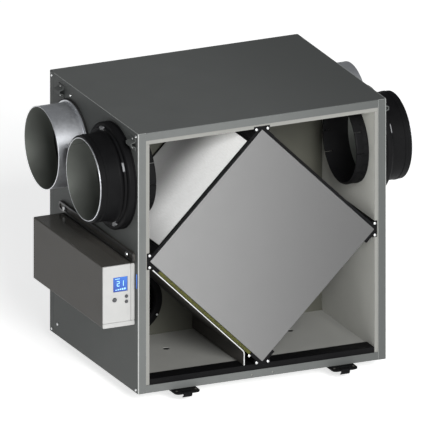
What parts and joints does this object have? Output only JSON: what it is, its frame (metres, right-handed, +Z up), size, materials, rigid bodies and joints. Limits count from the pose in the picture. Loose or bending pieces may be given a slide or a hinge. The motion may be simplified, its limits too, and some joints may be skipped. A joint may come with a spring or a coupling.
{
  "type": "heat recovery unit",
  "caption": "Ducted heat recovery ventilation unit: grey steel cabinet with a diamond crossflow core, duct collars on both sides and a side control box, front door removed.",
  "frame": {"origin": "midway between the four hanging brackets, on the cabinet's middle plane", "axes": "+X to the cabinet's right as seen from its open front, +Y from the front to the back, +Z up"},
  "size_m": [0.606, 0.41, 0.51],
  "materials": {
    "painted_steel": "grey semi-gloss powder coat on sheet steel",
    "liner_foam": "light skinned foam lining",
    "partition_sheet": "dark olive sheet",
    "black_plastic": "moulded black plastic, satin",
    "core_sheet": "satin aluminium sheet",
    "core_plates": "stacked aluminium exchange plates",
    "filter_media": "white pleated filter media in a black edge",
    "mat_foam": "olive open foam",
    "galvanised_steel": "galvanised sheet steel",
    "dark_steel": "dark warm grey coated sheet",
    "light_fascia": "light grey moulded fascia",
    "blue_display": "blue backlit display window",
    "green_board": "green circuit board",
    "rubber_seal": "black foam rubber",
    "cast_motor": "cast and turned aluminium"
  },
  "bodies": {
    "cabinet": {"back_panel": "painted_steel", "base_panel": "painted_steel", "cable_gland": "black_plastic", "circuit_board": "green_board", "collar_front_left": "black_plastic", "collar_front_right": "black_plastic", "collar_rear_left": "galvanised_steel", "collar_rear_right": "galvanised_steel", "control_box_flange": "dark_steel", "control_box_housing": "dark_steel", "control_front_panel": "light_fascia", "core_rail_bottom": "black_plastic", "core_rail_left": "black_plastic", "core_rail_right": "black_plastic", "core_rail_top": "black_plastic", "display_lens": "blue_display", "display_module": "galvanised_steel", "door_support_left": "black_plastic", "door_support_right": "black_plastic", "drain_pan": "liner_foam", "drain_spout_left": "black_plastic", "drain_spout_right": "black_plastic", "drip_screen": "dark_steel", "exhaust_fan_motor": "cast_motor", "exhaust_inlet_ring": "black_plastic", "front_sill": "black_plastic", "hanging_bracket_front_left": "galvanised_steel", "hanging_bracket_front_right": "galvanised_steel", "hanging_bracket_rear_left": "galvanised_steel", "hanging_bracket_rear_right": "galvanised_steel", "left_side_panel": "painted_steel", "liner_back": "liner_foam", "liner_floor": "liner_foam", "liner_left": "liner_foam", "liner_right": "liner_foam", "liner_top": "liner_foam", "partition": "partition_sheet", "rear_divider": "partition_sheet", "rear_seal_left": "rubber_seal", "rear_seal_right": "rubber_seal", "right_side_panel": "painted_steel", "sleeve_front_left": "galvanised_steel", "sleeve_front_right": "galvanised_steel", "supply_fan_motor": "cast_motor", "supply_inlet_ring": "black_plastic", "terminal_block": "light_fascia", "top_panel": "painted_steel", "transformer": "cast_motor"},
    "core": {"core_block": "core_plates", "core_front_plate": "core_sheet", "core_back_plate": "core_sheet"},
    "left_filter": {"filter_left": "filter_media"},
    "right_filter": {"filter_right": "filter_media"},
    "mat": {"drip_mat": "mat_foam"},
    "supply_wheel": {"supply_fan_wheel": "black_plastic"},
    "exhaust_wheel": {"exhaust_fan_wheel": "black_plastic"},
    "mode_key": {"mode_button": "black_plastic"},
    "up_key": {"up_button": "black_plastic"},
    "down_key": {"down_button": "black_plastic"}
  },
  "joints": [
    {"name": "core_slide", "type": "slide", "parent": "cabinet", "child": "core", "axis": [0, -1, 0], "range_m": [0, 0.245]},
    {"name": "left_filter_slide", "type": "slide", "parent": "cabinet", "child": "left_filter", "axis": [0, -1, 0], "range_m": [0, 0.245]},
    {"name": "right_filter_slide", "type": "slide", "parent": "cabinet", "child": "right_filter", "axis": [0, -1, 0], "range_m": [0, 0.245]},
    {"name": "drip_mat_slide", "type": "slide", "parent": "cabinet", "child": "mat", "axis": [0, -1, 0], "range_m": [0, 0.245]},
    {"name": "supply_fan_spin", "type": "hinge", "parent": "cabinet", "child": "supply_wheel", "pos_m": [0.152, 0.0825, -0.3775], "axis": [0, 1, 0], "continuous": true},
    {"name": "exhaust_fan_spin", "type": "hinge", "parent": "cabinet", "child": "exhaust_wheel", "pos_m": [-0.152, 0.0825, -0.3775], "axis": [0, 1, 0], "continuous": true},
    {"name": "mode_button_press", "type": "slide", "parent": "cabinet", "child": "mode_key", "axis": [0, 1, 0], "range_m": [0, 0.0012], "stiffness_N_per_m": 300},
    {"name": "up_button_press", "type": "slide", "parent": "cabinet", "child": "up_key", "axis": [0, 1, 0], "range_m": [0, 0.0012], "stiffness_N_per_m": 300},
    {"name": "down_button_press", "type": "slide", "parent": "cabinet", "child": "down_key", "axis": [0, 1, 0], "range_m": [0, 0.0012], "stiffness_N_per_m": 300}
  ]
}
